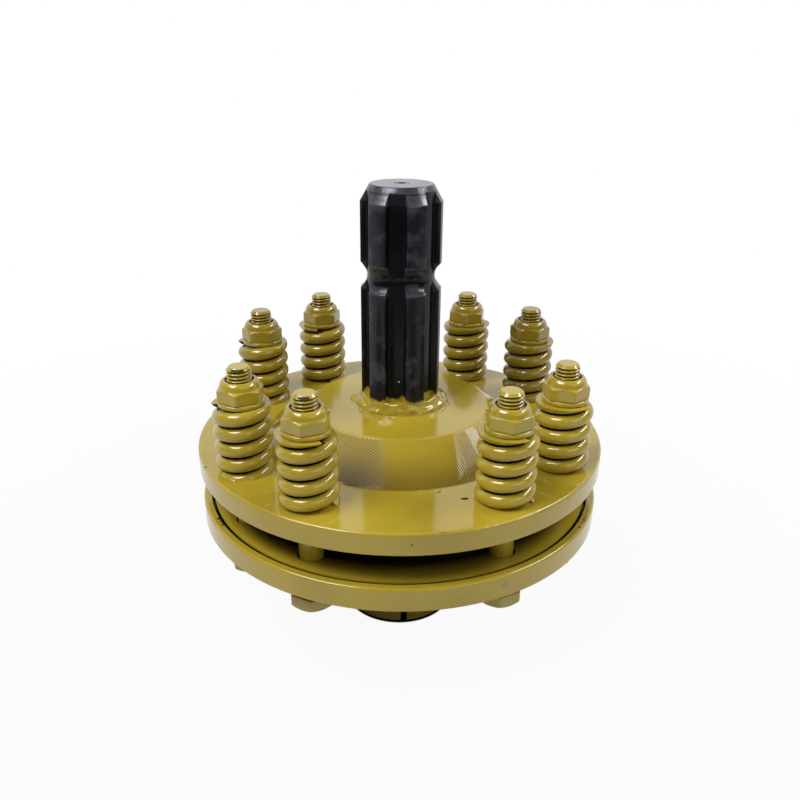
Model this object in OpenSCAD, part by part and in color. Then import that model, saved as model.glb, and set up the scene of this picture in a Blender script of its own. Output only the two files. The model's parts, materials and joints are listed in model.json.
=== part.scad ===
// Friction torque limiter with a splined stub shaft, standing on the end of its output sleeve.
// The axis of rotation is Z and the origin lies at the centre of the sleeve's lower end.

/* [Spline] */
// Diameter over the teeth of the stub shaft
spline_d = 34.8; // [33:0.1:38]
// Diameter at the foot of the teeth
root_d = 29.4; // [28.6:0.1:31]
// Width of one tooth
tooth_w = 8.6; // [7:0.1:10]
// Number of teeth
teeth = 6; // [5:1:7]
// Clearance all round the teeth in the output sleeve
spline_clear = 0.1; // [0.05:0.05:0.3]

/* [Stub shaft] */
// Length that stands above the boss
shaft_l = 97.5; // [80:0.5:120]
// Length of the chamfer at the free end
shaft_chamfer_l = 7; // [4:0.5:9]
// Slope of that chamfer from the axis, in degrees
shaft_chamfer_angle = 30; // [20:1:35]
// Radius of the lock groove's round section
groove_r = 6.8; // [5:0.1:8]
// Diameter at the bottom of the lock groove
groove_d = 29; // [28:0.1:30]
// Distance of the lock groove from the free end
groove_from_end = 38; // [30:0.5:45]
// Diameter of the plain seat pressed into the flange
seat_d = 28.6; // [24:0.1:29]
// Diameter of the lathe centre in the end face
centre_d = 3; // [2:0.1:5]
// Turn of the teeth about the axis, in degrees
tooth_turn = -9.75; // [-30:0.25:30]

/* [Weld bead] */
// Height of the bead up the shaft
weld_h = 6; // [3:0.1:9]
// Width of the bead on the boss
weld_w = 3.6; // [2:0.1:8]
// Fullness of the bead's face
weld_bulge = 0.62; // [0.52:0.01:0.75]

/* [Input flange] */
// Diameter of the flange
flange_d = 183; // [178:0.5:195]
// Thickness of the flange
flange_t = 9.5; // [7:0.1:14]
// Gap between the foot of the conical boss and the springs
boss_gap = 4.8; // [2:0.1:12]
// Diameter of the conical boss at its top
boss_top_d = 81; // [60:0.5:95]
// Height of the conical boss
boss_h = 13.3; // [8:0.1:20]
// Broken edge round the top of the boss
boss_edge = 0.5; // [0.2:0.1:1]
// Rounding of the plates' upper rims
rim_round = 1.2; // [0.5:0.1:1.6]
// Rounding of the flange's lower rim and of the housing's inner lip
foot_round = 0.6; // [0.3:0.1:1]

/* [Clutch pack] */
// Distance of the linings' edge from the drive disc's edge
lining_inset = 0.5; // [0.2:0.1:5]
// Inner diameter of the friction linings
lining_bore = 84; // [70:0.5:100]
// Thickness of one lining
lining_t = 3.5; // [2:0.1:5]
// Clearance between the drive disc and the bolts
drive_clear = 1.8; // [1:0.1:5]
// Thickness of the drive disc
drive_t = 8; // [5:0.1:12]

/* [Rear housing] */
// Diameter of the housing
housing_d = 182; // [178:0.5:195]
// Height of the whole housing
housing_h = 16.4; // [14:0.1:20]
// Height of its straight side
side_h = 10; // [8:0.1:12]
// Width of the bevel below that side
bevel_w = 8.5; // [6:0.1:9]
// Thickness of the housing's floor
floor_t = 11.4; // [8:0.1:13]
// Width of the housing's rim
rim_w = 3.5; // [2.5:0.1:4]
// Gap between the rim and the backing disc
seam = 1.2; // [0.5:0.1:2]
// Wall of the bush round the output sleeve
bush_wall = 3.5; // [2:0.1:6]
// Running clearance between bush and sleeve, on the radius
bush_clear = 0.05; // [0.02:0.01:0.1]
// Clearance between the bush and the bore of the backing disc, on the radius
disc_bore_clear = 0.3; // [0.1:0.1:1]

/* [Output sleeve] */
// Outer diameter of the sleeve
sleeve_d = 52.5; // [46:0.5:60]
// Length of the sleeve below the housing
sleeve_drop = 50.6; // [45:0.1:70]
// Chamfer round the sleeve's lower end
sleeve_chamfer = 1.5; // [0.5:0.1:3]
// Depth of the lead-in at the mouth of the splined bore
mouth_chamfer = 2; // [1:0.1:3]
// Width of the slit in the sleeve's wall
slit_w = 3; // [2:0.1:5]
// Length of the slit
slit_l = 40; // [20:0.5:44]
// Place of the slit round the axis, in degrees
slit_turn = -87; // [-180:1:180]

/* [Bolts] */
// Diameter of the bolts
bolt_d = 10; // [8:0.1:11]
// Distance of the bolts' axes from the edge of the smaller plate
bolt_inset = 14.7; // [13.5:0.1:15.5]
// Angle between the two bolts of a pair, in degrees
pair_angle = 30; // [24:1:45]
// Clearance of the bolts in the plates' holes, on the radius
hole_clear = 0.75; // [0.3:0.05:1]
// Width across the flats of a bolt's head
head_af = 17; // [15:0.1:19]
// Height of a bolt's head
head_h = 5.8; // [4:0.1:8]
// Length of thread that stands above a nut
thread_show = 5.5; // [2:0.1:10]
// Chamfer at a bolt's tip
tip_chamfer = 1; // [0.4:0.1:1.5]

/* [Nuts and washers] */
// Width across the flats of a nut
nut_af = 17; // [16:0.1:19]
// Height of the nut's six-sided part
nut_hex_h = 5.6; // [4:0.1:8]
// Height of the collar above it
collar_h = 3; // [2.4:0.1:4]
// Diameter of the collar at its foot
collar_foot_d = 16.5; // [14.8:0.1:16.8]
// Diameter of the collar at its shoulder
collar_shoulder_d = 15.8; // [14.2:0.1:16.2]
// Height of the shoulder above the collar's foot
collar_shoulder_h = 1.8; // [1:0.1:2.2]
// Diameter of the collar at its top
collar_top_d = 13.8; // [12.8:0.1:14.4]
// Opening in the top of the collar
collar_mouth_d = 11.6; // [11.4:0.1:12]
// Thickness of the lip that holds the insert
lip_t = 0.6; // [0.4:0.1:0.8]
// Outer diameter of the locking insert
insert_d = 12.8; // [12.4:0.1:13]
// Clearance of nut and insert on the thread, on the radius
thread_clear = 0.05; // [0.02:0.01:0.1]
// Outer diameter of a washer
washer_d = 19; // [17.5:0.1:22]
// Thickness of a washer
washer_t = 2; // [1.5:0.1:3]
// Clearance of a washer on the bolt, on the radius
washer_clear = 0.25; // [0.1:0.05:0.5]

/* [Springs] */
// Outer diameter of a spring
spring_d = 24; // [23:0.1:25]
// Diameter of the spring wire
wire_d = 6; // [4.6:0.1:6.2]
// Length of a spring between flange and washer
spring_l = 29.4; // [28:0.1:36]
// Turns of wire, the ground ends included
spring_turns = 5; // [4:1:5]
// Thickness left at the ground tip of the wire
wire_tip_t = 0.9; // [0.6:0.1:1.5]

/* [Hidden] */
$fn = 64;
bolts = 8;
eps = 0.5;
paint = [0.60, 0.53, 0.17];
black_oxide = [0.10, 0.10, 0.11];
lining_brown = [0.24, 0.20, 0.16];
bronze = [0.62, 0.46, 0.24];
dark_steel = [0.20, 0.19, 0.18];
insert_black = [0.06, 0.06, 0.06];

// Heights of the stack above the sleeve's end
housing_z = sleeve_drop;
disc_z = housing_z + floor_t;
disc_t = housing_h - floor_t;
lower_lining_z = housing_z + housing_h;
drive_z = lower_lining_z + lining_t;
upper_lining_z = drive_z + drive_t;
flange_z = upper_lining_z + lining_t;
spring_z = flange_z + flange_t;
boss_z = spring_z + boss_h;
shaft_end_z = boss_z + shaft_l;
washer_z = spring_z + spring_l;
nut_z = washer_z + washer_t;
nut_h = nut_hex_h + collar_h;
tip_z = nut_z + nut_h + thread_show;

// Radii that several pieces share
spline_r = spline_d / 2;
root_r = root_d / 2;
sleeve_r = sleeve_d / 2;
bush_bore_r = sleeve_r + bush_clear;
bush_r = bush_bore_r + bush_wall;
cup_r = housing_d / 2 - rim_w;
bolt_r = bolt_d / 2;
hole_r = bolt_r + hole_clear;
wire_r = wire_d / 2;
coil_r = spring_d / 2 - wire_r;
bolt_circle = min(housing_d, flange_d) - 2 * bolt_inset;
boss_foot_r = bolt_circle / 2 - spring_d / 2 - boss_gap;
drive_r = bolt_circle / 2 - bolt_r - drive_clear;
lining_r = drive_r - lining_inset;

// Places of the bolts, and how each bolt, nut and spring happens to be turned
bolt_angle = [for (q = [0:3]) for (side = [-1, 1]) 45 + 90 * q + side * pair_angle / 2];
head_turn = [12, 40, 5, 33, 47, 29, 25, 10];
nut_turn = [46, 15, 14, 1, 25, 22, 31, 39];
spring_turn = [100, 40, 276, 195, 200, 320, 318, 336];

function numbered(name) = [for (i = [1:bolts]) str(name, "_", i)];

// A round ring between two radii
module ring(outer_r, inner_r, z, h) {
    translate([0, 0, z])
        difference() {
            cylinder(r = outer_r, h = h);
            translate([0, 0, -eps])
                cylinder(r = inner_r, h = h + 2 * eps);
        }
}

// What rounding takes off a square corner of a profile; into points from the corner into the metal
module corner_waste(corner, into, r) {
    translate(corner)
        difference() {
            translate([into.x > 0 ? -eps : -r, into.y > 0 ? -eps : -r])
                square(r + eps);
            translate(r * into)
                circle(r);
        }
}

// Section through the toothed part of the shaft, grown by a clearance
module spline_section(clear) {
    circle(root_r + clear);
    intersection() {
        circle(spline_r + clear);
        for (t = [0:teeth - 1])
            rotate(360 / teeth * t)
                translate([0, -tooth_w / 2 - clear])
                    square([spline_d, tooth_w + 2 * clear]);
    }
}

// Puts a piece on bolt number i
module at_bolt(i) {
    r = bolt_circle / 2;
    translate([r * cos(bolt_angle[i]), r * sin(bolt_angle[i]), 0])
        children();
}

// The holes for all the bolts through a plate
module bolt_holes(z, h) {
    for (i = [0:bolts - 1])
        at_bolt(i)
            translate([0, 0, z - eps])
                cylinder(r = hole_r, h = h + 2 * eps);
}

// A six-sided blank whose corners are turned off at one end
module hex_blank(af, h, chamfer_up) {
    corner_r = af / 2 / cos(30);
    drop = (corner_r - af / 2 + eps) * tan(30);
    inner_r = af / 2 - eps;
    intersection() {
        cylinder(r = corner_r, h = h, $fn = 6);
        translate([0, 0, chamfer_up ? 0 : h])
            mirror([0, 0, chamfer_up ? 0 : 1])
                rotate_extrude()
                    polygon([[0, 0], [corner_r + eps, 0], [corner_r + eps, h - drop - eps * tan(30)],
                             [inner_r, h], [0, h]]);
    }
}

module output_sleeve() {
    top_z = upper_lining_z;
    bore_r = root_r + spline_clear;
    mouth_r = spline_r + spline_clear + mouth_chamfer / 2;
    color(paint)
        difference() {
            rotate_extrude()
                polygon([[0, 0], [sleeve_r - sleeve_chamfer, 0], [sleeve_r, sleeve_chamfer],
                         [sleeve_r, top_z], [0, top_z]]);
            translate([0, 0, -eps])
                rotate(slit_turn)
                    linear_extrude(top_z + 2 * eps)
                        spline_section(spline_clear);
            cylinder(r1 = mouth_r, r2 = mouth_r - mouth_chamfer, h = mouth_chamfer);
            rotate(slit_turn)
                translate([bore_r, -slit_w / 2, -eps])
                    cube([sleeve_r, slit_w, slit_l + eps]);
        }
}

module drive_disc() {
    color(dark_steel)
        ring(drive_r, sleeve_r, drive_z, drive_t);
}

module lower_lining() {
    color(lining_brown)
        ring(lining_r, lining_bore / 2, lower_lining_z, lining_t);
}

module upper_lining() {
    color(lining_brown)
        ring(lining_r, lining_bore / 2, upper_lining_z, lining_t);
}

module rear_housing() {
    outer_r = housing_d / 2;
    top_z = housing_z + housing_h;
    color(paint)
        difference() {
            rotate_extrude()
                difference() {
                    polygon([[bush_r, housing_z], [outer_r - bevel_w, housing_z], [outer_r, top_z - side_h],
                             [outer_r, top_z], [cup_r, top_z], [cup_r, disc_z], [bush_r, disc_z]]);
                    corner_waste([outer_r, top_z], [-1, -1], rim_round);
                    corner_waste([cup_r, top_z], [1, -1], foot_round);
                }
            bolt_holes(housing_z, floor_t);
        }
}

module backing_disc() {
    color(paint)
        difference() {
            ring(cup_r - seam, bush_r + disc_bore_clear, disc_z, disc_t);
            bolt_holes(disc_z, disc_t);
        }
}

module sleeve_bush() {
    color(bronze)
        ring(bush_r, bush_bore_r, housing_z, housing_h);
}

module input_flange() {
    outer_r = flange_d / 2;
    top_r = boss_top_d / 2;
    slope = boss_h / (boss_foot_r - top_r);
    color(paint)
        difference() {
            rotate_extrude()
                difference() {
                    polygon([[seat_d / 2, flange_z], [outer_r, flange_z], [outer_r, spring_z],
                             [boss_foot_r, spring_z], [top_r + boss_edge, boss_z - slope * boss_edge],
                             [top_r - boss_edge, boss_z], [seat_d / 2, boss_z]]);
                    corner_waste([outer_r, spring_z], [-1, -1], rim_round);
                    corner_waste([outer_r, flange_z], [-1, 1], foot_round);
                }
            bolt_holes(flange_z, flange_t);
        }
}

module splined_shaft() {
    end_r = spline_r - shaft_chamfer_l * tan(shaft_chamfer_angle);
    color(black_oxide)
        intersection() {
            rotate_extrude()
                difference() {
                    polygon([[0, flange_z], [seat_d / 2, flange_z], [seat_d / 2, boss_z], [spline_r, boss_z],
                             [spline_r, shaft_end_z - shaft_chamfer_l], [end_r, shaft_end_z],
                             [centre_d / 2, shaft_end_z], [0, shaft_end_z - centre_d]]);
                    translate([groove_d / 2 + groove_r, shaft_end_z - groove_from_end])
                        circle(groove_r);
                }
            translate([0, 0, flange_z - eps])
                rotate(tooth_turn)
                    linear_extrude(shaft_end_z - flange_z + 2 * eps)
                        spline_section(0);
        }
}

module weld_bead() {
    color(paint)
        difference() {
            rotate_extrude()
                polygon([[seat_d / 2, boss_z], [spline_r + weld_w, boss_z],
                         [spline_r + weld_w * weld_bulge, boss_z + weld_h * weld_bulge],
                         [spline_r, boss_z + weld_h], [seat_d / 2, boss_z + weld_h]]);
            translate([0, 0, boss_z - eps])
                rotate(tooth_turn)
                    linear_extrude(weld_h + 2 * eps)
                        spline_section(0);
        }
}

module bolt(i) {
    shank_z = housing_z - head_h / 2;
    color(paint)
        at_bolt(i) {
            translate([0, 0, housing_z - head_h])
                rotate(head_turn[i])
                    hex_blank(head_af, head_h, false);
            rotate_extrude()
                polygon([[0, shank_z], [bolt_r, shank_z], [bolt_r, tip_z - tip_chamfer],
                         [bolt_r - tip_chamfer, tip_z], [0, tip_z]]);
        }
}

// Half a turn of wire that climbs by rise from its start at +X to its end at -X
module half_turn(rise) {
    tilt = atan(rise / (2 * coil_r));
    rotate([0, tilt, 0])
        rotate_extrude(angle = 180)
            translate([coil_r / cos(tilt), 0])
                circle(wire_r);
}

module spring(i) {
    halves = 2 * spring_turns;
    rise = (spring_l + wire_d - 2 * wire_tip_t) / halves;
    start_z = wire_tip_t - wire_r;
    color(paint)
        at_bolt(i)
            translate([0, 0, spring_z])
                rotate(spring_turn[i])
                    intersection() {
                        union()
                            for (k = [0:halves - 1])
                                translate([0, 0, start_z + rise * (k + 0.5)])
                                    rotate(180 * k)
                                        half_turn(rise);
                        cylinder(d = 2 * spring_d, h = spring_l);
                    }
}

module washer(i) {
    color(paint)
        at_bolt(i)
            ring(washer_d / 2, bolt_r + washer_clear, washer_z, washer_t);
}

module lock_nut(i) {
    thread_r = bolt_r + thread_clear;
    color(paint)
        at_bolt(i)
            translate([0, 0, nut_z])
                difference() {
                    union() {
                        rotate(nut_turn[i])
                            hex_blank(nut_af, nut_hex_h, true);
                        rotate_extrude()
                            polygon([[0, nut_hex_h / 2], [collar_foot_d / 2, nut_hex_h / 2],
                                     [collar_foot_d / 2, nut_hex_h],
                                     [collar_shoulder_d / 2, nut_hex_h + collar_shoulder_h],
                                     [collar_top_d / 2, nut_h], [0, nut_h]]);
                    }
                    translate([0, 0, -eps])
                        cylinder(r = thread_r, h = nut_hex_h + 2 * eps);
                    translate([0, 0, nut_hex_h])
                        cylinder(d = insert_d, h = collar_h - lip_t);
                    translate([0, 0, nut_hex_h])
                        cylinder(d = collar_mouth_d, h = collar_h + eps);
                }
}

module nut_insert(i) {
    color(insert_black)
        at_bolt(i)
            ring(insert_d / 2, bolt_r + thread_clear, nut_z + nut_hex_h, collar_h - lip_t);
}

output_sleeve();
drive_disc();
lower_lining();
upper_lining();
rear_housing();
backing_disc();
sleeve_bush();
input_flange();
splined_shaft();
weld_bead();
for (i = [0:bolts - 1]) bolt(i);
for (i = [0:bolts - 1]) spring(i);
for (i = [0:bolts - 1]) washer(i);
for (i = [0:bolts - 1]) lock_nut(i);
for (i = [0:bolts - 1]) nut_insert(i);
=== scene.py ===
"""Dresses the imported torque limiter: gloss olive paint, wound springs, threaded bolts and a welded shaft."""
import json
import math

import bmesh
import bpy
from bpy.props import FloatProperty, FloatVectorProperty, IntProperty, PointerProperty
from mathutils import Matrix, Vector, noise


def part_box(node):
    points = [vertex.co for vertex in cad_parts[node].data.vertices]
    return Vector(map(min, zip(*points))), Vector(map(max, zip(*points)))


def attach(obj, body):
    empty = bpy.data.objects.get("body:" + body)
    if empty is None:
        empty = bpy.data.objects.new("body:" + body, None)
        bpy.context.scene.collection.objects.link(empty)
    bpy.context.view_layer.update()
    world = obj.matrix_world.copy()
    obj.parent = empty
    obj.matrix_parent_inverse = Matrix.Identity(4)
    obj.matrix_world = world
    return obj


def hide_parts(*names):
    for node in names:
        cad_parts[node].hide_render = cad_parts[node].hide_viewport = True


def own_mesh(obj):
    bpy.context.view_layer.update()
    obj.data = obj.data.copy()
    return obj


bl_info = {
    "name": "Torque limiter",
    "version": (1, 0, 0),
    "blender": (4, 5, 0),
    "location": "View3D > Sidebar > Limiter",
    "description": "Builds the visible pieces and finishes of a friction torque limiter on its packed frame",
    "category": "Object",
}

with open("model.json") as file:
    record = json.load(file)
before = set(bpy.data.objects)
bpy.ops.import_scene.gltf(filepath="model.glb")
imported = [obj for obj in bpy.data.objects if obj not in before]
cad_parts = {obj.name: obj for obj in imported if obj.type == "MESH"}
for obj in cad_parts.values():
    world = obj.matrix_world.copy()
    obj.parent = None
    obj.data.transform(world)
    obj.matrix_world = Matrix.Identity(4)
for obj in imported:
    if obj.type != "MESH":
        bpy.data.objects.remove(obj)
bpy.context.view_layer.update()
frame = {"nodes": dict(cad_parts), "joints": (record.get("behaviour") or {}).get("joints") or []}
BOLTS = range(1, 9)
TURN = 2 * math.pi

# Heights and radii that the frame gives
FLANGE_LOW, BOSS_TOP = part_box("input_flange")[0].z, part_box("input_flange")[1].z
PLATE_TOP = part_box("spring_1")[0].z
PLATE_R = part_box("input_flange")[1].x
HOUSING_LOW, HOUSING_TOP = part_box("rear_housing")[0].z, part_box("rear_housing")[1].z
HOUSING_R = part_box("rear_housing")[1].x
WASHER_LOW, NUT_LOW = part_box("washer_1")[0].z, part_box("lock_nut_1")[0].z
INSERT_LOW, NUT_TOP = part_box("nut_insert_1")[0].z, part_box("lock_nut_1")[1].z
HEAD_LOW, TIP_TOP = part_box("bolt_1")[0].z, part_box("bolt_1")[1].z
SHAFT_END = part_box("splined_shaft")[1].z
INSERT_R = (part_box("nut_insert_1")[1].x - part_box("nut_insert_1")[0].x) / 2
WASHER_R = (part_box("washer_1")[1].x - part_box("washer_1")[0].x) / 2


def srgb(red, green, blue):
    """A colour given as three bytes of a display, as the linear values that shaders use."""
    shares = (value / 255 for value in (red, green, blue))
    return tuple(s / 12.92 if s <= 0.04045 else ((s + 0.055) / 1.055) ** 2.4 for s in shares)


def size(name, description, default):
    """A length that a user may change, in metres."""
    return FloatProperty(name=name, description=description, default=default, precision=5, unit="LENGTH")


def angle(name, description, degrees):
    """An angle that a user may change."""
    return FloatProperty(name=name, description=description, default=math.radians(degrees), subtype="ANGLE")


def share(name, description, default):
    """A plain share that a user may change."""
    return FloatProperty(name=name, description=description, default=default, min=0.0, max=20.0)


def colour(name, description, default):
    """A colour that a user may change."""
    return FloatVectorProperty(name=name, description=description, default=default, size=3, min=0.0, max=1.0,
                               subtype="COLOR")


class LimiterSizes(bpy.types.PropertyGroup):
    """Sizes of the pieces that are finer than the frame."""
    wire_d: size("Spring wire", "Diameter of the spring wire", 0.006)
    spring_d: size("Spring diameter", "Outer diameter of a spring", 0.024)
    wire_tip: size("Wire tip", "Thickness left at the ground end of the spring wire", 0.0009)
    wire_end: size("Wire end", "Thickness of the cut end of the spring wire", 0.0016)
    spring_turns: IntProperty(name="Spring turns", description="Turns of wire in a spring", default=5, min=2)
    bolt_d: size("Bolt diameter", "Diameter of the bolts over their threads", 0.010)
    thread_pitch: size("Thread pitch", "Distance from one thread to the next", 0.0015)
    thread_depth: size("Thread depth", "Depth of the painted threads", 0.0008)
    tip_chamfer: size("Tip chamfer", "Chamfer at the tip of a bolt", 0.0011)
    hex_af: size("Across flats", "Width across the flats of nuts and bolt heads", 0.017)
    collar_foot_d: size("Collar foot", "Diameter of a nut's collar at its foot", 0.0165)
    collar_shoulder_d: size("Collar shoulder", "Diameter of a nut's collar at its shoulder", 0.0158)
    collar_shoulder_h: size("Shoulder height", "Height of the shoulder above the collar's foot", 0.0018)
    collar_top_d: size("Collar top", "Diameter of a nut's collar at its top", 0.0138)
    collar_mouth_d: size("Collar mouth", "Opening in the top of a nut's collar", 0.0116)
    paint_round: size("Paint rounding", "Rounding that thick paint gives to edges", 0.0004)
    spline_d: size("Spline diameter", "Diameter over the teeth of the stub shaft", 0.0348)
    root_d: size("Root diameter", "Diameter at the foot of the teeth", 0.0294)
    tooth_w: size("Tooth width", "Width of one tooth", 0.0086)
    seat_d: size("Seat diameter", "Diameter of the shaft's plain seat in the flange", 0.0286)
    end_chamfer: size("End chamfer", "Length of the chamfer at the shaft's free end", 0.007)
    groove_r: size("Groove radius", "Radius of the lock groove's round section", 0.0068)
    groove_d: size("Groove diameter", "Diameter at the bottom of the lock groove", 0.029)
    groove_drop: size("Groove place", "Distance of the lock groove from the shaft's end", 0.038)
    centre_d: size("Lathe centre", "Diameter of the lathe centre in the shaft's end", 0.003)
    edge_round: size("Edge rounding", "Rounding of the shaft's worn edges", 0.00035)
    rim_round: size("Rim rounding", "Rounding of the plates' upper rims", 0.0012)
    tooth_turn: angle("Tooth turn", "Turn of the teeth about the axis", -9.75)
    chamfer_angle: angle("Chamfer angle", "Slope of the end chamfer from the axis", 30)
    bead_h: size("Bead height", "Height of the weld bead up the shaft", 0.0052)
    bead_w: size("Bead width", "Least width of the weld bead on the boss", 0.0014)
    bead_lump: size("Bead lumps", "Height of the weld bead's lumps", 0.0009)


class LimiterColours(bpy.types.PropertyGroup):
    """Colours of the finishes."""
    olive: colour("Olive paint", "Gloss paint on everything but the shaft", srgb(176, 153, 44))
    # Used for random tone and nicks, and as painted shade at the boss foot, in the cutter stripes, towards the
    # back, on the sleeve and in the thread grooves.
    shade: colour("Paint in the shade", "Thin or dirty paint in corners", srgb(104, 83, 26))
    # Near black; used as painted shade in the gap between the plates and on the walls of the housing's seam.
    painted_gap_shade: colour("Behind the paint", "Where the spray did not reach", srgb(16, 13, 8))
    bare: colour("Bare steel", "Steel where the paint has chipped", srgb(38, 33, 27))
    oxide: colour("Black oxide", "Oiled black finish of the shaft", srgb(5, 7, 11))
    worn: colour("Worn oxide", "Black finish on the tops of the teeth", srgb(25, 26, 33))
    scuff: colour("Scuffed oxide", "Where the shaft's finish has been rubbed", srgb(98, 96, 104))
    disc: colour("Disc steel", "Dull steel of the drive disc", srgb(40, 38, 34))
    lining: colour("Lining", "Moulded friction lining", srgb(62, 52, 42))
    bronze: colour("Bronze", "Turned bronze bush", srgb(165, 122, 66))
    insert: colour("Insert", "Locking insert of the nuts", srgb(18, 17, 15))
    floor: colour("Floor", "Studio floor", (0.50, 0.50, 0.50))


class LimiterStage(bpy.types.PropertyGroup):
    """Camera and studio light."""
    camera_back: size("Camera distance", "Distance of the camera from the axis", 0.3366)
    camera_up: size("Camera height", "Height of the camera above the floor", 0.2492)
    camera_side: angle("Camera side", "How far the camera stands to the left of the front", 2.75)
    camera_pitch: angle("Camera pitch", "How far the camera looks down", 23.17)
    camera_roll: angle("Camera roll", "Turn of the camera about its own view", 0.46)
    lens: FloatProperty(name="Lens", description="Focal length of the camera in millimetres", default=35.87)
    fill: share("Fill light", "Light from all around", 0.12)
    dark_room: share("Dark room", "What gloss mirrors from the front and above", 0.10)


class LimiterSettings(bpy.types.PropertyGroup):
    """Everything about the torque limiter that a user may change."""
    sizes: PointerProperty(type=LimiterSizes)
    colours: PointerProperty(type=LimiterColours)
    stage: PointerProperty(type=LimiterStage)


# Shader maths


class Socket:
    """A shader socket that takes part in Python expressions."""

    def __init__(self, tree, socket=None):
        self.tree = tree
        self.socket = socket

    def node(self, kind, settings=None, inputs=None, output=0):
        """Adds a node: its settings come first, then the values or links of its sockets."""
        made = self.tree.nodes.new(kind)
        for name, value in (settings or {}).items():
            setattr(made, name, value)
        for key, value in (inputs or {}).items():
            if isinstance(value, Socket):
                self.tree.links.new(value.socket, made.inputs[key])
            else:
                made.inputs[key].default_value = value
        return Socket(self.tree, made.outputs[output] if len(made.outputs) else None)

    def math(self, operation, *values):
        return self.node("ShaderNodeMath", {"operation": operation}, dict(enumerate(values)))

    def __add__(self, other):
        return self.math("ADD", self, other)

    __radd__ = __add__

    def __sub__(self, other):
        return self.math("SUBTRACT", self, other)

    def __rsub__(self, other):
        return self.math("SUBTRACT", other, self)

    def __mul__(self, other):
        return self.math("MULTIPLY", self, other)

    __rmul__ = __mul__

    def __truediv__(self, other):
        return self.math("DIVIDE", self, other)

    def __rtruediv__(self, other):
        return self.math("DIVIDE", other, self)

    def rise(self, low, high):
        """0 below low and 1 above high, or the other way round if high is the lower, smooth between."""
        return self.node("ShaderNodeMapRange", {"interpolation_type": "SMOOTHSTEP"},
                         {"Value": self, "From Min": low, "From Max": high})

    def tint(self, first, second):
        """The first colour where this is 0 and the second where it is 1."""
        first, second = (c if isinstance(c, Socket) else (*c, 1.0) for c in (first, second))
        return self.node("ShaderNodeMix", {"data_type": "RGBA"}, {0: self, 6: first, 7: second}, output=2)


class Finish:
    """A material under construction: the place on the piece, noise, and the final shader."""

    def __init__(self, name):
        self.material = bpy.data.materials.new(name)
        self.material.use_nodes = True
        self.tree = self.material.node_tree
        self.tree.nodes.clear()
        self.paper = Socket(self.tree)
        self.place = self.paper.node("ShaderNodeTexCoord", output="Object")
        parts = self.paper.node("ShaderNodeSeparateXYZ", None, {"Vector": self.place})
        self.x, self.y, self.z = (Socket(self.tree, s) for s in parts.socket.node.outputs)

    def radius(self, x=0.0, y=0.0):
        """Distance from an upright line."""
        across, along = self.x - x, self.y - y
        return self.paper.math("SQRT", across * across + along * along)

    def noise(self, wave, detail=2.0, roughness=0.5, stretch=None):
        """Soft noise from 0 to 1 with about that wavelength, in metres."""
        place = self.place
        if stretch:
            place = self.paper.node("ShaderNodeVectorMath", {"operation": "MULTIPLY"}, {0: place, 1: stretch})
        return self.paper.node("ShaderNodeTexNoise", None,
                               {"Vector": place, "Scale": 1 / wave, "Detail": detail, "Roughness": roughness})

    def spots(self, marks, ragged):
        """1 inside any of the marks, each a point and a reach with a ragged edge, and 0 outside."""
        edge = (self.noise(0.0007, 3.0) - 0.5) * ragged
        total = None
        for point, reach in marks:
            gap = self.paper.node("ShaderNodeVectorMath", {"operation": "DISTANCE"},
                                  {0: self.place, 1: point}, output="Value")
            mask = (gap / reach + edge).rise(1.15, 0.85)
            total = mask if total is None else self.paper.math("MAXIMUM", total, mask)
        return total

    def rim_normal(self, outer, top, rounding):
        """The exact normal of a turned plate's rounded upper rim, and the mesh's own normal elsewhere."""
        r = self.radius()
        never_zero = 0.001
        shares = ((r - outer) / rounding + 1, (self.z - top) / rounding + 1)
        out, up = (self.paper.node("ShaderNodeClamp", None, {"Value": v, "Min": never_zero}) for v in shares)
        way = self.paper.node("ShaderNodeCombineXYZ", None, {0: self.x / r * out, 1: self.y / r * out, 2: up})
        way = self.paper.node("ShaderNodeVectorTransform",
                              {"vector_type": "NORMAL", "convert_from": "OBJECT", "convert_to": "WORLD"},
                              {"Vector": way})
        own = self.paper.node("ShaderNodeNewGeometry", output="Normal")
        near = r.rise(outer - 0.0080, outer - 0.0075) * self.z.rise(top - 0.0060, top - 0.0055)
        mixed = self.paper.node("ShaderNodeMix", {"data_type": "VECTOR"}, {0: near, 4: own, 5: way}, output=1)
        return self.paper.node("ShaderNodeVectorMath", {"operation": "NORMALIZE"}, {0: mixed})

    def bump(self, height, depth, normal=None):
        """A normal bent by a height from 0 to 1, scaled to a depth in metres."""
        inputs = {"Strength": 1.0, "Distance": depth, "Height": height}
        if normal:
            inputs["Normal"] = normal
        return self.paper.node("ShaderNodeBump", None, inputs)

    def close(self, **inputs):
        """Ends the material with one shader; names have _ for each space."""
        words = {name.replace("_", " "): value for name, value in inputs.items()}
        words = {name: (*v, 1.0) if isinstance(v, tuple) and len(v) == 3 else v for name, v in words.items()}
        shader = self.paper.node("ShaderNodeBsdfPrincipled", None, words)
        self.paper.node("ShaderNodeOutputMaterial", None, {"Surface": shader})
        return self.material


def rgb(prop):
    """A colour property as a plain tuple."""
    return tuple(prop)


# Mesh building


def skin(bm, rings, close_first=True, close_last=True):
    """Adds a wall of quads through rings of points, and a face over each closed end."""
    rows = [[bm.verts.new(point) for point in ring] for ring in rings]
    count = len(rows[0])
    for below, above in zip(rows, rows[1:]):
        for k in range(count):
            bm.faces.new((below[k], below[(k + 1) % count], above[(k + 1) % count], above[k]))
    if close_first:
        bm.faces.new(reversed(rows[0]))
    if close_last:
        bm.faces.new(rows[-1])


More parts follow.
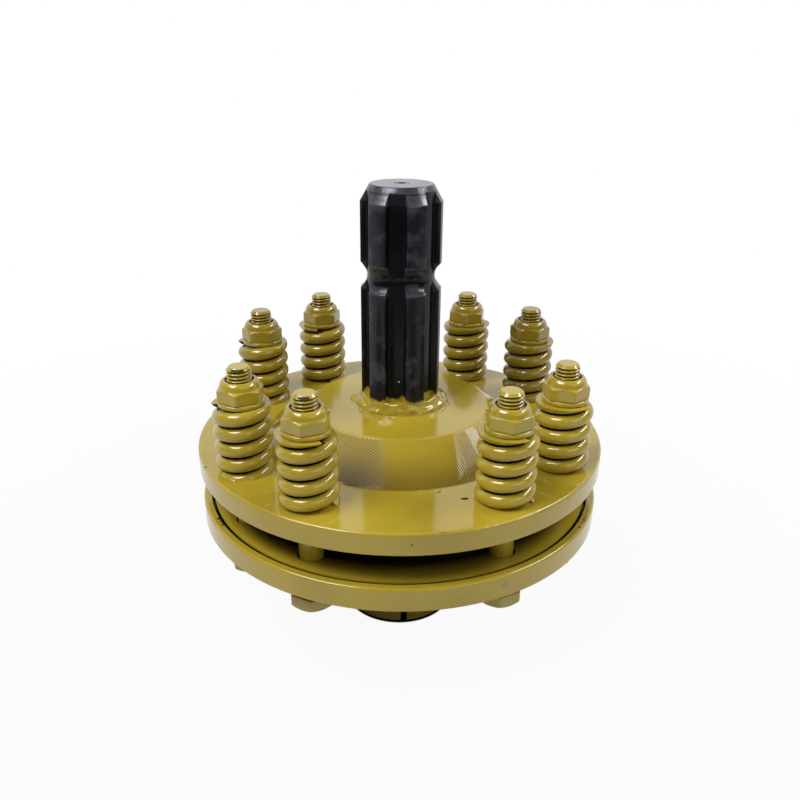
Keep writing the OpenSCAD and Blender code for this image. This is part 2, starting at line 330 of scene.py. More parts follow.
def rounded(points, reach, steps=3):
    """A profile whose inner corners are small arcs that start at most reach from each corner."""
    out = [Vector(points[0])]
    for before, corner, after in zip(points, points[1:], points[2:]):
        corner = Vector(corner)
        back, ahead = Vector(before) - corner, Vector(after) - corner
        cut = min(reach, 0.45 * back.length, 0.45 * ahead.length)
        start, end = corner + cut * back.normalized(), corner + cut * ahead.normalized()
        for k in range(steps + 1):
            t = k / steps
            out.append((1 - t) ** 2 * start + 2 * t * (1 - t) * corner + t * t * end)
    out.append(Vector(points[-1]))
    return out


def turned(profile, count, centre=Vector((0, 0, 0))):
    """Rings of points from a profile of radius and height turned about an upright axis."""
    around = [(math.cos(TURN * k / count), math.sin(TURN * k / count)) for k in range(count)]
    return [[centre + Vector((r * c, r * s, z)) for c, s in around] for r, z in profile]


def column(profile, a, centre=Vector((0, 0, 0))):
    """The points of a profile of radius and height, in direction a from an upright axis."""
    return [centre + Vector((p[0] * math.cos(a), p[0] * math.sin(a), p[1])) for p in profile]


def finish_mesh(bm, name, sharp_deg):
    """Turns a bmesh into a smooth mesh that keeps its sharp edges."""
    bmesh.ops.recalc_face_normals(bm, faces=bm.faces)
    mesh = bpy.data.meshes.new(name)
    bm.to_mesh(mesh)
    bm.free()
    mesh.shade_smooth()
    mesh.set_sharp_from_angle(angle=math.radians(sharp_deg))
    return mesh


def add_piece(name, bm, materials, body, nodes, sharp_deg=38, even=True):
    """Shows a bmesh as a piece that rides on a body and stands for CAD nodes."""
    mesh = finish_mesh(bm, name, sharp_deg)
    for material in materials:
        mesh.materials.append(material)
    piece = bpy.data.objects.new(name, mesh)
    bpy.context.scene.collection.objects.link(piece)
    if even:
        piece.modifiers.new("Flat faces stay flat", "WEIGHTED_NORMAL").keep_sharp = True
    if nodes:
        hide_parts(*nodes)
    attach(piece, body)
    return piece


def dress(node, material):
    """Gives a CAD node a finish."""
    mesh = frame["nodes"][node].data
    mesh.materials.clear()
    mesh.materials.append(material)


def bolt_axis(i):
    """The point of the floor under bolt number i."""
    low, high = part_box(f"nut_insert_{i}")
    return Vector(((low.x + high.x) / 2, (low.y + high.y) / 2, 0))


def hex_reach(theta, across_flats):
    """Distance from the axis to the side of a hexagon whose corners are softened by paint."""
    sharpness = 44
    total = sum(max(0.0, math.cos(theta - k * TURN / 6)) ** sharpness for k in range(6))
    return across_flats / 2 * total ** (-1 / sharpness)


# Finishes


def made_once(build):
    """Keeps the material that a function builds, so that pieces can share it."""
    kept = {}

    def give(*args):
        if args not in kept:
            kept[args] = build(*args)
        return kept[args]
    return give


# Places where the paint is chipped, as a point in metres and a reach
PLATE_CHIPS = (
    ((0.0216, -0.0668, 0.0915), 0.0008), ((0.0223, -0.0668, 0.0915), 0.0009),
    ((0.0230, -0.0667, 0.0915), 0.0009), ((0.0134, -0.0600, 0.0915), 0.0004),
    ((0.0004, -0.0915, 0.0871), 0.0004), ((-0.0832, -0.0370, 0.0915), 0.0006),
    ((-0.0815, -0.0405, 0.0905), 0.0004),
)
HOUSING_CHIPS = (
    ((0.0743, -0.0502, 0.0670), 0.0006), ((0.0766, -0.0467, 0.0670), 0.0004),
    ((0.0778, -0.0446, 0.0670), 0.0008), ((0.0793, -0.0421, 0.0670), 0.0005),
    ((-0.0791, -0.0381, 0.0669), 0.0011), ((-0.0779, -0.0405, 0.0669), 0.0008),
    ((-0.0766, -0.0429, 0.0669), 0.0010),
)
# Runs of thick paint, in the same form
PAINT_BUMPS = (((0.0122, -0.0606, 0.0915), 0.0013), ((0.0110, -0.0610, 0.0915), 0.0008))
# Dents beside the lathe centre in the shaft's end, and bright specks on its teeth, in the same form
SHAFT_MARKS = (
    ((-0.0024, 0.0002, 0.2023), 0.0009), ((0.0026, -0.0001, 0.2023), 0.0008), ((0, 0, 0.2023), 0.0019),
)
SHAFT_SPECKS = (
    ((-0.0056, -0.0155, 0.1340), 0.0004), ((-0.0013, -0.0146, 0.1200), 0.0004),
    ((0.0064, -0.0152, 0.1360), 0.0004), ((0.0107, -0.0125, 0.1200), 0.0004),
    ((-0.0106, -0.0126, 0.1870), 0.0005),
)
# Shallow nicks that lay the primer bare, in the same form
PLATE_NICKS = tuple(((0.0911 * math.cos(a), 0.0911 * math.sin(a), 0.0914), 0.0005)
                    for a in (math.radians(-83.6 + 0.45 * k) for k in range(8)))
HOUSING_NICKS = tuple(((0.0910 * math.cos(a), 0.0910 * math.sin(a), z), 0.0005)
                      for a, z in ((math.radians(-66.6 + 0.4 * k), 0.0622 + 0.0003 * k) for k in range(4)))
# Bolt tips whose chamfer has lost its paint: number of the bolt, and from where to where in degrees
BARE_TIPS = ((5, -115, -62), (6, -112, -70))
# Sweeps of the cutter on the boss: distance of their centres from the axis, and from one mark to the next
CUTTER_OFF, CUTTER_PITCH = 0.0685, 0.00105
# Floor point under the bolt that gets the most painted shadow, where the shaft's shadow falls
PAINTED_SHADOW_BOLT = (0.0661, 0.0382)


def tip_chips():
    """Marks along the chamfers of the bolt tips that have lost their paint."""
    reach, steps = 0.0006, 8
    edge = [(bpy.context.scene.limiter.sizes.bolt_d / 2 - 0.0004, TIP_TOP - reach)]
    marks = []
    for i, first, last in BARE_TIPS:
        for k in range(steps + 1):
            a = math.radians(first + (last - first) * k / steps)
            marks.append((tuple(column(edge, a, bolt_axis(i))[0]), reach))
    return tuple(marks)


@made_once
def olive_paint(kind):
    """Gloss olive paint; the plate has cutter marks on its boss, and each plate has its own chips. Some kinds
    carry painted shade.
    """
    sizes, colours = bpy.context.scene.limiter.sizes, bpy.context.scene.limiter.colours
    f = Finish(f"olive_paint_{kind}")
    cloud = f.noise(0.030, 3.0)
    base = (cloud.rise(0.35, 0.75) * 0.22).tint(rgb(colours.olive), rgb(colours.shade))
    depth = 0.00006
    turned_plate = {"plate": (PLATE_R, PLATE_TOP), "housing": (HOUSING_R, HOUSING_TOP)}.get(kind)
    height = f.noise(0.0045, 2.0) * (0.15 if turned_plate else 0.30)
    normal = f.rim_normal(*turned_plate, sizes.rim_round) if turned_plate else None
    nicks = {"plate": PLATE_NICKS, "housing": HOUSING_NICKS}.get(kind)
    if nicks:
        base = (f.spots(nicks, 0.9) * 0.6).tint(base, rgb(colours.shade))
    if kind == "plate":
        slope = f.z.rise(PLATE_TOP + 0.0004, PLATE_TOP + 0.0009)
        slope = slope * f.z.rise(BOSS_TOP - 0.0002, BOSS_TOP - 0.0007)
        reach = f.radius()
        # Painted shade: the boss slope darkens towards its foot.
        foot = f.z.rise(BOSS_TOP + 0.002, PLATE_TOP - 0.002) * reach.rise(0.0610, 0.0590)
        base = (foot * 0.85).tint(base, rgb(colours.shade))
        near = f.radius(0, -CUTTER_OFF)
        for x, y in ((CUTTER_OFF, 0), (0, CUTTER_OFF), (-CUTTER_OFF, 0)):
            near = near.math("MINIMUM", near, f.radius(x, y))
        ripple = f.paper.math("SINE", near * (TURN / CUTTER_PITCH))
        off_axes = (f.paper.math("ABSOLUTE", v) for v in (f.x - 0.006, f.y))
        lit_sides = f.paper.math("MINIMUM", *off_axes).rise(0.011, 0.020)
        left = f.x.rise(0.010, -0.010)
        # The cutter marks also tint the paint in darker stripes on the two sides of the slope where the soft
        # boxes are mirrored, most on the left: painted reflection stripes.
        base = (slope * (ripple * 0.5 + 0.5) * lit_sides * (0.45 + left * 0.3)).tint(base, rgb(colours.shade))
        height = height + slope * ripple * lit_sides * (1 + left * 0.8)
    # Painted shade: the inner top of the housing and of the backing disc, in the gap under the plate, and the
    # walls of the seam are tinted nearly black.
    if kind in ("housing", "back"):
        reach = f.radius()
        gap_shade = reach.rise(0.0865, 0.0730) * f.z.rise(HOUSING_TOP - 0.0003, HOUSING_TOP - 0.0001)
        seam_shade = reach.rise(0.0882, 0.0878) * f.z.rise(HOUSING_TOP - 0.0004, HOUSING_TOP - 0.0012)
        seam_shade = seam_shade * f.z.rise(HOUSING_TOP - 0.0062, HOUSING_TOP - 0.0056)
        base = f.paper.math("MAXIMUM", gap_shade, seam_shade).tint(base, rgb(colours.painted_gap_shade))
    # Painted shade: the small pieces and bolts darken towards the back, and most round the back right bolt, in
    # the shaft's shadow.
    if kind in ("small", "bolts"):
        painted_back_shade = f.y.rise(-0.05, 0.06) * 0.40 + f.radius(*PAINTED_SHADOW_BOLT).rise(0.026, 0.012) * 0.25
        base = painted_back_shade.tint(base, rgb(colours.shade))
    # Painted shade: the sleeve darkens towards the floor.
    if kind == "sleeve":
        base = (f.z.rise(0.060, 0.005) * 0.6).tint(base, rgb(colours.shade))
    chips = {"plate": PLATE_CHIPS, "housing": HOUSING_CHIPS, "bolts": tip_chips()}.get(kind)
    rough = 0.11 + f.noise(0.012, 2.0) * 0.06
    coat = 0.25
    if chips:
        lost = f.spots(chips, 0.9)
        base = lost.tint(base, rgb(colours.bare))
        rough = rough + lost * 0.6
        coat = 0.25 - lost * 0.25
    return f.close(Base_Color=base, Roughness=rough, IOR=1.5, Coat_Weight=coat, Coat_Roughness=0.04,
                   Normal=f.bump(height, depth, normal))


@made_once
def thread_groove_shade():
    """Darker paint at the bottom of the threads: painted shade in the grooves."""
    colours = bpy.context.scene.limiter.colours
    f = Finish("thread_groove_shade")
    grain = f.noise(0.0015, 2.0)
    base = (grain * 0.3).tint(rgb(colours.shade), rgb(colours.bare))
    return f.close(Base_Color=base, Roughness=0.3 + grain * 0.2, IOR=1.5, Normal=f.bump(grain, 0.00005))


@made_once
def black_oxide():
    """Oiled black shaft with rubbed patches, specks and overspray at its foot."""
    sizes, colours = bpy.context.scene.limiter.sizes, bpy.context.scene.limiter.colours
    f = Finish("black_oxide")
    long_marks = f.noise(0.0016, 4.0, 0.6, (1.0, 1.0, 0.12))
    patches = f.noise(0.009, 4.0, 0.62)
    tooth = f.radius().rise(0.0158, 0.0170)
    end = f.z.rise(SHAFT_END - 0.0075, SHAFT_END - 0.0065)
    rubbed = patches.rise(0.46, 0.70) * (0.2 + long_marks * 0.8)
    specks = f.noise(0.0011, 1.0).rise(0.80, 0.84)
    base = f.paper.math("MAXIMUM", tooth, end).tint(rgb(colours.oxide), rgb(colours.worn))
    base = (rubbed * 0.55 * tooth + specks * 0.5).tint(base, rgb(colours.scuff))
    spray_top = BOSS_TOP + 0.0040 + f.noise(0.004, 3.0) * 0.005 + (1 - tooth) * 0.0015
    spray = (spray_top - f.z).rise(-0.0006, 0.0012)
    base = (spray * 0.9).tint(base, rgb(colours.olive))
    # The end face is tinted lighter: partly the turned steel, partly a painted reflection of the white
    # backdrop.
    face = f.z.rise(SHAFT_END - 0.0003, SHAFT_END - 0.0001)
    groove = f.paper.math("ABSOLUTE", f.z - (SHAFT_END - sizes.groove_drop)).rise(0.0066, 0.0056)
    above_root, near_end = f.radius().rise(0.0149, 0.0153), f.z.rise(SHAFT_END - 0.0027, SHAFT_END - 0.0021)
    raised = f.paper.math("MAXIMUM", above_root, near_end)
    mottled = 0.5 + f.noise(0.0030, 4.0, 0.7).rise(0.40, 0.62) * 0.5
    burnish = f.paper.math("MAXIMUM", end, groove * 0.65) * (1 - face) * raised * mottled
    base = f.paper.math("MAXIMUM", face * 0.6, burnish * 0.8).tint(base, rgb(colours.scuff))
    dents = f.spots(SHAFT_MARKS, 0.6)
    base = dents.tint(base, rgb(colours.oxide))
    base = f.spots(SHAFT_SPECKS, 0.9).tint(base, srgb(190, 188, 196))
    rough = (0.14 + patches * 0.16 + rubbed * 0.14) * (1 - face * 0.3) + dents * 0.8
    return f.close(Base_Color=base, Roughness=rough, Metallic=burnish * 0.5, IOR=1.31,
                   Normal=f.bump(long_marks * 0.6 + patches * 0.4, 0.00008))


@made_once
def plain_finish(kind):
    """Friction lining, bronze, insert, dull disc steel, or the dark steel of a spring's cut end and of the
    inner half of its coils, which is partly unpainted and partly painted shade between the coils.
    """
    colours = bpy.context.scene.limiter.colours
    f = Finish(kind)
    grain = f.noise(0.0012, 4.0, 0.65)
    if kind == "friction_lining":
        base = grain.rise(0.4, 0.7).tint(rgb(colours.lining), srgb(96, 82, 58))
        return f.close(Base_Color=base, Roughness=0.75 + grain * 0.15, Normal=f.bump(grain, 0.0002))
    if kind == "bronze":
        base = (grain * 0.5).tint(rgb(colours.bronze), srgb(120, 84, 44))
        return f.close(Base_Color=base, Metallic=1.0, Roughness=0.3 + grain * 0.15,
                       Normal=f.bump(grain, 0.00004))
    if kind == "disc_steel":
        base = (grain * 0.6).tint(rgb(colours.disc), srgb(66, 56, 44))
        return f.close(Base_Color=base, Metallic=0.6, Roughness=0.5 + grain * 0.2,
                       Normal=f.bump(grain, 0.0001))
    if kind == "bare_steel":
        base = grain.tint(rgb(colours.bare), srgb(20, 18, 16))
        return f.close(Base_Color=base, Roughness=0.45 + grain * 0.2, Normal=f.bump(grain, 0.0001))
    base = (grain * 0.4).tint(rgb(colours.insert), srgb(46, 42, 34))
    return f.close(Base_Color=base, Roughness=0.4 + grain * 0.2, Normal=f.bump(grain, 0.00006))


# Pieces

# How each bolt, nut and spring happens to be turned, in degrees
HEAD_TURNS = (12, 40, 5, 33, 47, 29, 25, 10)
NUT_TURNS = (46, 15, 14, 1, 25, 22, 31, 39)
SPRING_TURNS = (100, 40, 276, 195, 200, 320, 318, 336)


class LIMITER_OT_plates(bpy.types.Operator):
    """Paints the turned plates and the output sleeve"""
    bl_idname = "limiter.plates"
    bl_label = "Plates and sleeve"

    def execute(self, context):
        dress("input_flange", olive_paint("plate"))
        dress("rear_housing", olive_paint("housing"))
        dress("backing_disc", olive_paint("back"))
        dress("output_sleeve", olive_paint("sleeve"))
        for n, ((x, y, z), reach) in enumerate(PAINT_BUMPS, 1):
            profile = [(reach * math.cos(t), z + 0.7 * reach * math.sin(t))
                       for t in (math.radians(15 * k) for k in range(6))]
            bm = bmesh.new()
            skin(bm, turned(profile, 24, Vector((x, y, 0))))
            add_piece(f"paint_run_{n}", bm, [olive_paint("small")], "input", [], 60, even=False)
        return {"FINISHED"}


class LIMITER_OT_clutch_pack(bpy.types.Operator):
    """Gives the drive disc, the linings, the bush and the nuts' inserts their finish"""
    bl_idname = "limiter.clutch_pack"
    bl_label = "Clutch pack"

    def execute(self, context):
        dress("drive_disc", plain_finish("disc_steel"))
        dress("lower_lining", plain_finish("friction_lining"))
        dress("upper_lining", plain_finish("friction_lining"))
        dress("sleeve_bush", plain_finish("bronze"))
        for i in BOLTS:
            dress(f"nut_insert_{i}", plain_finish("locking_insert"))
        return {"FINISHED"}


def spline_columns(sizes):
    """Angle and radius of the points round the toothed section, with worn corners."""
    tip_r, root_r, half_w = sizes.spline_d / 2, sizes.root_d / 2, sizes.tooth_w / 2
    edge, foot = math.asin(half_w / tip_r), math.asin(half_w / root_r)
    sixth = TURN / 6

    def polar(r, a):
        return (r * math.cos(a), r * math.sin(a))
    corners = [polar(tip_r, 0.8 * edge), polar(tip_r, edge), polar(root_r, foot), polar(root_r, foot + 0.12)]
    half = [Vector(polar(tip_r, edge * k / 5)) for k in range(4)]
    half += rounded(corners, sizes.edge_round)
    half += [Vector(polar(root_r, foot + 0.12 + (sixth / 2 - foot - 0.12) * k / 3)) for k in (1, 2)]
    half = [(math.atan2(p.y, p.x), p.length) for p in half]
    middle = [(sixth / 2, root_r)]
    tooth = [(-a, r) for a, r in reversed(half[1:])] + half + middle
    return [(a + sixth * t, r) for t in range(6) for a, r in tooth]


class LIMITER_OT_splined_shaft(bpy.types.Operator):
    """Cuts the splined stub shaft with its lock groove and chamfered end"""
    bl_idname = "limiter.splined_shaft"
    bl_label = "Splined shaft"

    def execute(self, context):
        s = context.scene.limiter.sizes
        groove_z = SHAFT_END - s.groove_drop
        groove_c = s.groove_d / 2 + s.groove_r
        end_r = s.spline_d / 2 - s.end_chamfer * math.tan(s.chamfer_angle)
        columns = []
        for a, r in spline_columns(s):
            half = math.sqrt(s.groove_r ** 2 - (groove_c - r) ** 2)
            profile = [(s.seat_d / 2, FLANGE_LOW), (s.seat_d / 2, BOSS_TOP), (r, BOSS_TOP)]
            for k in range(-6, 7):
                z = half * k / 6
                profile.append((groove_c - math.sqrt(s.groove_r ** 2 - z * z), groove_z + z))
            profile.append((r, SHAFT_END - (r - end_r) / math.tan(s.chamfer_angle)))
            profile += [(end_r, SHAFT_END), (s.centre_d / 2, SHAFT_END), (0.0001, SHAFT_END - s.centre_d)]
            columns.append(column(rounded(profile, s.edge_round), a + s.tooth_turn))
        bm = bmesh.new()
        skin(bm, list(zip(*columns)))
        add_piece("stub_shaft", bm, [black_oxide()], "input", ["splined_shaft"], 50)
        return {"FINISHED"}


# Lobes of the weld bead: direction in degrees, how far each reaches out in metres, and its spread in degrees
WELD_LOBES = (
    (172, 0.0044, 20), (143, 0.0026, 14), (-150, 0.0020, 18), (-122, 0.0010, 14), (-48, 0.0018, 22),
    (-14, 0.0036, 20), (24, 0.0042, 20), (65, 0.0026, 22), (105, 0.0028, 22),
)


# Drops on the weld bead: direction in degrees, place from toe to top, height in metres, and spread in degrees
WELD_DROPS = (
    (-160, 0.45, 0.0012, 12), (-128, 0.40, 0.0013, 12), (-100, 0.60, 0.0005, 9), (-76, 0.60, 0.0006, 9),
    (-48, 0.40, 0.0013, 13), (-20, 0.50, 0.0008, 13), (18, 0.40, 0.0012, 14), (60, 0.45, 0.0009, 12),
    (100, 0.40, 0.0011, 13), (140, 0.40, 0.0009, 12), (170, 0.30, 0.0014, 12),
)


class LIMITER_OT_weld_bead(bpy.types.Operator):
    """Lays the lumpy weld bead round the foot of the shaft"""
    bl_idname = "limiter.weld_bead"
    bl_label = "Weld bead"

    def execute(self, context):
        s = context.scene.limiter.sizes
        count, steps = 240, 16
        tooth_r, inner = s.spline_d / 2, s.root_d / 2 - 0.0006
        rings = [[] for _ in range(steps + 1)]
        for k in range(count):
            a = TURN * k / count
            way = Vector((math.cos(a), math.sin(a), 0))
            lump = noise.noise(way * 2.6) + 0.5 * noise.noise(way * 5.1 + Vector((5, 1, 2)))
            toe = tooth_r + s.bead_w + s.bead_lump * lump
            for degrees, reach, spread in WELD_LOBES:
                off = (math.degrees(a) - degrees + 180) % 360 - 180
                toe += reach * math.exp(-(off / spread) ** 2)
            top = BOSS_TOP + s.bead_h * (1 + 0.25 * noise.noise(way * 4.2 + Vector((9, 4, 0))))
            for j, ring in enumerate(rings):
                t = j / steps
                u = min(1.0, t / 0.8)
                r = toe + (tooth_r - toe) * u
                z = BOSS_TOP + (top - BOSS_TOP) * u ** 1.9
                swell = s.bead_lump * noise.noise(Vector((3.4 * way.x, 3.4 * way.y, 2.5 * u)))
                for degrees, place, height, spread in WELD_DROPS:
                    off = (math.degrees(a) - degrees + 180) % 360 - 180
                    swell += height * math.exp(-(off / spread) ** 2 - ((u - place) / 0.28) ** 2)
                swell *= math.sin(math.pi * u)
                r += 0.6 * swell
                z += 0.7 * swell
                if t > 0.8:
                    r += (inner - r) * (t - 0.8) / 0.2
                ring.append(way * r + Vector((0, 0, max(z, BOSS_TOP))))
        floor_ring = [Vector((p.x, p.y, 0)).normalized() * inner + Vector((0, 0, BOSS_TOP)) for p in rings[0]]
        bm = bmesh.new()
        skin(bm, [floor_ring] + rings + [floor_ring], False, False)
        bmesh.ops.remove_doubles(bm, verts=bm.verts, dist=1e-7)
        add_piece("shaft_weld", bm, [olive_paint("small")], "input", ["weld_bead"], 70, even=False)
        return {"FINISHED"}


class LIMITER_OT_springs(bpy.types.Operator):
    """Winds the eight coil springs with ground ends"""
    bl_idname = "limiter.springs"
    bl_label = "Coil springs"

    def execute(self, context):
        s = context.scene.limiter.sizes
        wire_r = s.wire_d / 2
        coil_r = s.spring_d / 2 - wire_r
        length = WASHER_LOW - PLATE_TOP
        per_turn, section = 64, 24
        cut = 3
        inside = range(section * 5 // 24, section * 19 // 24)
        climb = length + s.wire_d - 2 * s.wire_tip
        travel = next(j for j in frame["joints"] if j["name"] == "plate_float")["range_m"][1]
        for i in BOLTS:
            centre = bolt_axis(i)
            start = math.radians(SPRING_TURNS[i - 1])
            steps = per_turn * s.spring_turns
            rings = []
            for k in range(cut, steps + 1 - cut):
                a = start + TURN * k / per_turn
                out = Vector((math.cos(a), math.sin(a), 0))
                middle = centre + out * coil_r
                middle.z = PLATE_TOP + s.wire_tip - wire_r + climb * k / steps
                middle.z = max(middle.z, PLATE_TOP + s.wire_end - wire_r)
                middle.z = min(middle.z, WASHER_LOW - s.wire_end + wire_r)
                ring = []
                for q in range(section):
                    b = TURN * q / section
                    point = middle + wire_r * (out * math.cos(b) + Vector((0, 0, math.sin(b))))
                    point.z = min(max(point.z, PLATE_TOP), WASHER_LOW)
                    ring.append(point)
                rings.append(ring)
            bm = bmesh.new()
            skin(bm, rings)
            upper_end = len(bm.faces) - 1
            # Except on the top turn, the inner half of the wire takes the dark steel: partly unpainted, partly
            # painted shade in the gaps between the coils.
            for n, face in enumerate(bm.faces):
                unpainted_and_shaded = n // section < steps - per_turn - cut and n % section in inside
                face.material_index = int(n == upper_end or unpainted_and_shaded)
            bmesh.ops.dissolve_degenerate(bm, dist=1e-7, edges=bm.edges)
            finishes = [olive_paint("small"), plain_finish("bare_steel")]
            piece = add_piece(f"coil_spring_{i}", bm, finishes, "housing", [f"spring_{i}"], 45,
                              even=False)
            1 - travel / length
            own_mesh(piece)
        return {"FINISHED"}


class LIMITER_OT_bolts(bpy.types.Operator):
    """Makes the eight bolts with hexagon heads and painted threads"""
    bl_idname = "limiter.bolts"
    bl_label = "Bolts"

    def execute(self, context):
        s = context.scene.limiter.sizes
        count = 96
        bolt_r = s.bolt_d / 2
        soft = s.paint_round
        rows = 84
        chamfer_r = s.hex_af / 2 * 0.965
        thread_low = INSERT_LOW + 0.0004
        for i in BOLTS:
            centre = bolt_axis(i)
            turn = math.radians(HEAD_TURNS[i - 1] + 30)
            columns = []
            for k in range(count):
                a = TURN * k / count
                side = hex_reach(a - turn, s.hex_af)
                drop = max(0.0, side - chamfer_r) * math.tan(math.radians(30))
                profile = [(0.0003, HEAD_LOW), (chamfer_r, HEAD_LOW), (side, HEAD_LOW + drop + 0.00005),
                           (side, HOUSING_LOW), (bolt_r, HOUSING_LOW), (bolt_r, thread_low)]
                profile = rounded(profile, soft)
                for n in range(1, rows + 1):
                    z = thread_low + (TIP_TOP - thread_low) * n / rows
                    wave = 0.5 + 0.5 * math.cos(TURN * (z / s.thread_pitch) - a)
                    groove = s.thread_depth * (1 - wave ** 0.8)
                    profile.append(Vector((min(bolt_r - groove, bolt_r - s.tip_chamfer + TIP_TOP - z), z)))
                profile.append(Vector((0.0003, TIP_TOP)))
                columns.append(column(profile, a, centre))
            bm = bmesh.new()
            skin(bm, list(zip(*columns)))
            # Faces deep in the thread grooves take the painted groove shade.
            for face in bm.faces:
                spot = face.calc_center_median() - centre
                deep = spot.xy.length < bolt_r - 0.55 * s.thread_depth
                face.material_index = int(deep and thread_low < spot.z < TIP_TOP - s.tip_chamfer)
            finishes = [olive_paint("bolts"), thread_groove_shade()]
            add_piece(f"hex_bolt_{i}", bm, finishes, "housing", [f"bolt_{i}"])
        return {"FINISHED"}


class LIMITER_OT_washers(bpy.types.Operator):
    """Turns the eight washers with edges softened by paint"""
    bl_idname = "limiter.washers"
    bl_label = "Washers"

    def execute(self, context):
        s = context.scene.limiter.sizes
        bore = s.bolt_d / 2 + 0.00025
        profile = [(bore, WASHER_LOW), (WASHER_R, WASHER_LOW), (WASHER_R, NUT_LOW), (bore, NUT_LOW),
                   (bore, WASHER_LOW)]
        for i in BOLTS:
            bm = bmesh.new()
            skin(bm, turned(rounded(profile, 2 * s.paint_round), 72, bolt_axis(i)), False, False)
            bmesh.ops.remove_doubles(bm, verts=bm.verts, dist=1e-7)
            add_piece(f"flat_washer_{i}", bm, [olive_paint("small")], "housing", [f"washer_{i}"])
        return {"FINISHED"}


class LIMITER_OT_lock_nuts(bpy.types.Operator):
    """Makes the eight lock nuts with their tapered collars"""
    bl_idname = "limiter.lock_nuts"
    bl_label = "Lock nuts"

    def execute(self, context):
        s = context.scene.limiter.sizes
        count = 120
        bore = s.bolt_d / 2 + 0.00005
        hex_top = INSERT_LOW
        chamfer_r = s.hex_af / 2 * 0.97
        lip = NUT_TOP - 0.0006
        for i in BOLTS:
            centre = bolt_axis(i)
            turn = math.radians(NUT_TURNS[i - 1] + 30)
            columns = []
            for k in range(count):
                a = TURN * k / count
                side = hex_reach(a - turn, s.hex_af)
                drop = max(0.0, side - chamfer_r) * math.tan(math.radians(30))
                profile = [(bore, NUT_LOW), (side - 0.0004, NUT_LOW), (side, NUT_LOW + 0.0003),
                           (side, hex_top - drop - 0.00005), (chamfer_r, hex_top),
                           (s.collar_foot_d / 2, hex_top),
                           (s.collar_shoulder_d / 2, hex_top + s.collar_shoulder_h),
                           (s.collar_top_d / 2, NUT_TOP), (s.collar_mouth_d / 2, NUT_TOP),
                           (s.collar_mouth_d / 2, lip), (INSERT_R, lip), (INSERT_R, hex_top), (bore, hex_top),
                           (bore, NUT_LOW)]
                columns.append(column(rounded(profile, s.paint_round), a, centre))
            bm = bmesh.new()
            skin(bm, list(zip(*columns)), False, False)
            bmesh.ops.remove_doubles(bm, verts=bm.verts, dist=1e-7)
            add_piece(f"locking_nut_{i}", bm, [olive_paint("small")], "housing", [f"lock_nut_{i}"])
        return {"FINISHED"}


# Stage

# Soft boxes: name, where each hangs, its width and height in metres, and how bright its face is
SOFT_BOXES = (
    ("left_core", (-0.55, -0.34, 0.98), (0.62, 0.36), 12.8),
    ("left_halo", (-0.42, -0.10, 1.08), (1.00, 0.45), 1.0),
    ("right_core", (0.76, 0.04, 0.80), (0.72, 0.17), 14.0),
    ("front_fill", (0.45, -0.62, 0.42), (0.60, 0.40), 1.5),
)


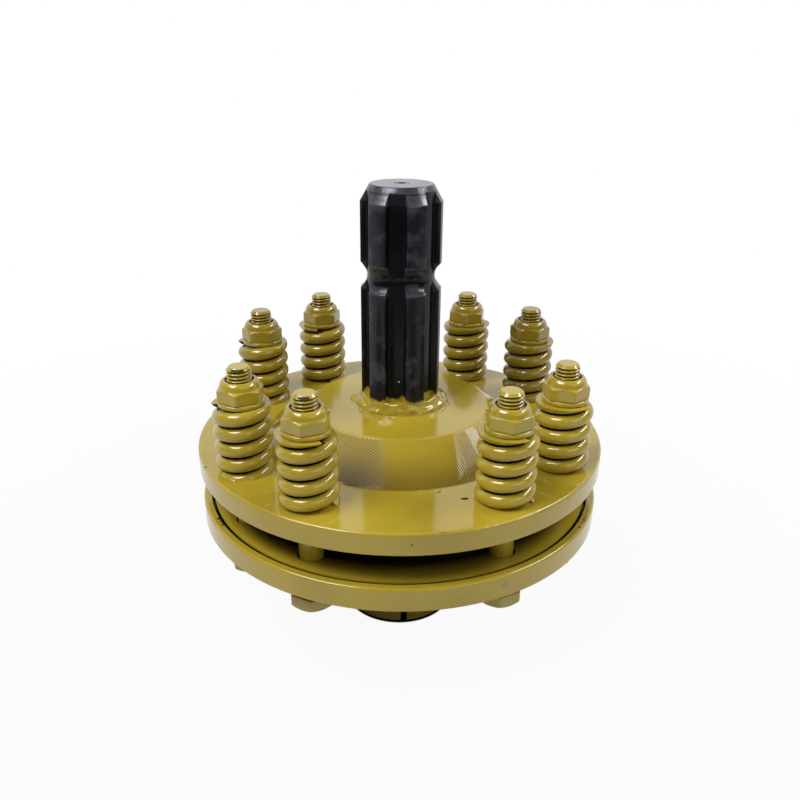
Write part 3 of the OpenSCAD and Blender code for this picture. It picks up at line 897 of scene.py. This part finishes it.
class LIMITER_OT_stage(bpy.types.Operator):
    """Sets the floor, the soft light and the camera"""
    bl_idname = "limiter.stage"
    bl_label = "Studio"

    def execute(self, context):
        limiter = context.scene.limiter
        self.light_room(context, limiter.stage)
        self.hang_soft_boxes(context)
        self.lay_floor(context, limiter)
        self.place_camera(context, limiter.stage)
        context.scene.view_settings.view_transform = "Standard"
        return {"FINISHED"}

    def light_room(self, context, stage):
        """White to look at, white behind in gloss, and an even dim fill."""
        world = bpy.data.worlds.new("studio")
        context.scene.world = world
        world.use_nodes = True
        world.node_tree.nodes.clear()
        paper = Socket(world.node_tree)
        way = paper.node("ShaderNodeTexCoord", output="Generated")
        parts = paper.node("ShaderNodeSeparateXYZ", None, {"Vector": way}).socket.node.outputs
        back = Socket(world.node_tree, parts["Y"]) - Socket(world.node_tree, parts["Z"]) * 0.15
        mirrored = stage.dark_room + back.rise(-0.05, 0.45) * (1 - stage.dark_room)
        rays = paper.node("ShaderNodeLightPath").socket.node.outputs
        camera, glossy, through = (Socket(world.node_tree, rays[f"Is {word} Ray"])
                                   for word in ("Camera", "Glossy", "Transmission"))
        seen = paper.math("MAXIMUM", camera, through)
        strength = seen + (1 - seen) * (glossy * mirrored + (1 - glossy) * stage.fill)
        sky = paper.node("ShaderNodeBackground", None, {"Color": (1, 1, 1, 1), "Strength": strength})
        paper.node("ShaderNodeOutputWorld", None, {"Surface": sky})

    def hang_soft_boxes(self, context):
        """Area lamps that face the middle of the plate."""
        aim = Vector((0, 0, PLATE_TOP))
        for name, place, (width, height), bright in SOFT_BOXES:
            lamp = bpy.data.lights.new(name, "AREA")
            lamp.shape = "RECTANGLE"
            lamp.size, lamp.size_y = width, height
            lamp.energy = bright * math.pi * width * height
            box = bpy.data.objects.new(name, lamp)
            box.location = place
            box.rotation_euler = (Vector(place) - aim).to_track_quat("Z", "Y").to_euler()
            context.scene.collection.objects.link(box)

    def lay_floor(self, context, limiter):
        """A wide round floor with a soft shadow: white to look at, dark in gloss, and with a painted shadow
        inside the sleeve.
        """
        bm = bmesh.new()
        bmesh.ops.create_circle(bm, cap_ends=True, segments=96, radius=4.0)
        mesh = bpy.data.meshes.new("floor")
        bm.to_mesh(mesh)
        bm.free()
        f = Finish("studio_floor")
        rays = f.paper.node("ShaderNodeLightPath").socket.node.outputs
        far = f.radius()
        camera, glossy, through = (Socket(f.tree, rays[f"Is {word} Ray"])
                                   for word in ("Camera", "Glossy", "Transmission"))
        looked_at = f.paper.math("MAXIMUM", camera, through) * far.rise(0.0260, 0.0267)
        seen = looked_at * (0.94 + far.rise(0.12, 0.5) * 0.06) + glossy * far.rise(0.07, 0.13) * 0.9
        pale, black = (f.paper.node("ShaderNodeBsdfDiffuse", None, {"Color": (*rgb(colour), 1)})
                       for colour in (limiter.colours.floor, limiter.colours.oxide))
        # Painted shadow: inside the sleeve the floor is near black.
        matt = f.paper.node("ShaderNodeMixShader", None, {0: far.rise(0.0258, 0.0262), 1: black, 2: pale})
        front = f.y.rise(-0.36, -0.50) * glossy
        dark = limiter.stage.dark_room
        shine = front.tint((1, 1, 1), (dark, dark, dark))
        glow = f.paper.node("ShaderNodeEmission", None, {"Color": shine, "Strength": 1.0})
        both = f.paper.node("ShaderNodeMixShader", None, {0: seen, 1: matt, 2: glow})
        f.paper.node("ShaderNodeOutputMaterial", None, {"Surface": both})
        mesh.materials.append(f.material)
        floor = bpy.data.objects.new("floor", mesh)
        context.scene.collection.objects.link(floor)

    def place_camera(self, context, stage):
        """The camera at the photograph's viewing angle."""
        camera = bpy.data.cameras.new("camera")
        camera.lens = stage.lens
        camera.sensor_width = 36.0
        camera.clip_start = 0.01
        eye = bpy.data.objects.new("camera", camera)
        side = stage.camera_side
        spot = Vector((-math.sin(side), -math.cos(side), 0)) * stage.camera_back
        spot.z = stage.camera_up
        turn = (Matrix.Rotation(-side, 4, "Z") @ Matrix.Rotation(math.pi / 2 - stage.camera_pitch, 4, "X")
                @ Matrix.Rotation(stage.camera_roll, 4, "Z"))
        eye.matrix_world = Matrix.Translation(spot) @ turn
        context.scene.collection.objects.link(eye)
        context.scene.camera = eye


class LIMITER_PT_builder(bpy.types.Panel):
    """Lists the pieces of the torque limiter"""
    bl_label = "Torque limiter"
    bl_idname = "LIMITER_PT_builder"
    bl_space_type = "VIEW_3D"
    bl_region_type = "UI"
    bl_category = "Limiter"

    def draw(self, context):
        for operator in OPERATORS:
            self.layout.operator(operator.bl_idname)
        for group in ("sizes", "colours", "stage"):
            box = self.layout.box()
            values = getattr(context.scene.limiter, group)
            for name in values.__annotations__:
                box.prop(values, name)


OPERATORS = (
    LIMITER_OT_stage,
    LIMITER_OT_plates,
    LIMITER_OT_clutch_pack,
    LIMITER_OT_splined_shaft,
    LIMITER_OT_weld_bead,
    LIMITER_OT_springs,
    LIMITER_OT_bolts,
    LIMITER_OT_washers,
    LIMITER_OT_lock_nuts,
)
CLASSES = (LimiterSizes, LimiterColours, LimiterStage, LimiterSettings, *OPERATORS, LIMITER_PT_builder)


def register():
    """Makes the settings, operators and panel known."""
    for cls in CLASSES:
        bpy.utils.register_class(cls)
    bpy.types.Scene.limiter = PointerProperty(type=LimiterSettings)


def unregister():
    """Takes the settings, operators and panel away again."""
    del bpy.types.Scene.limiter
    for cls in reversed(CLASSES):
        bpy.utils.unregister_class(cls)


def main():
    """Builds every piece in order."""
    register()
    for operator in OPERATORS:
        group, name = operator.bl_idname.split(".")
        getattr(getattr(bpy.ops, group), name)()


if __name__ == "__main__":
    main()
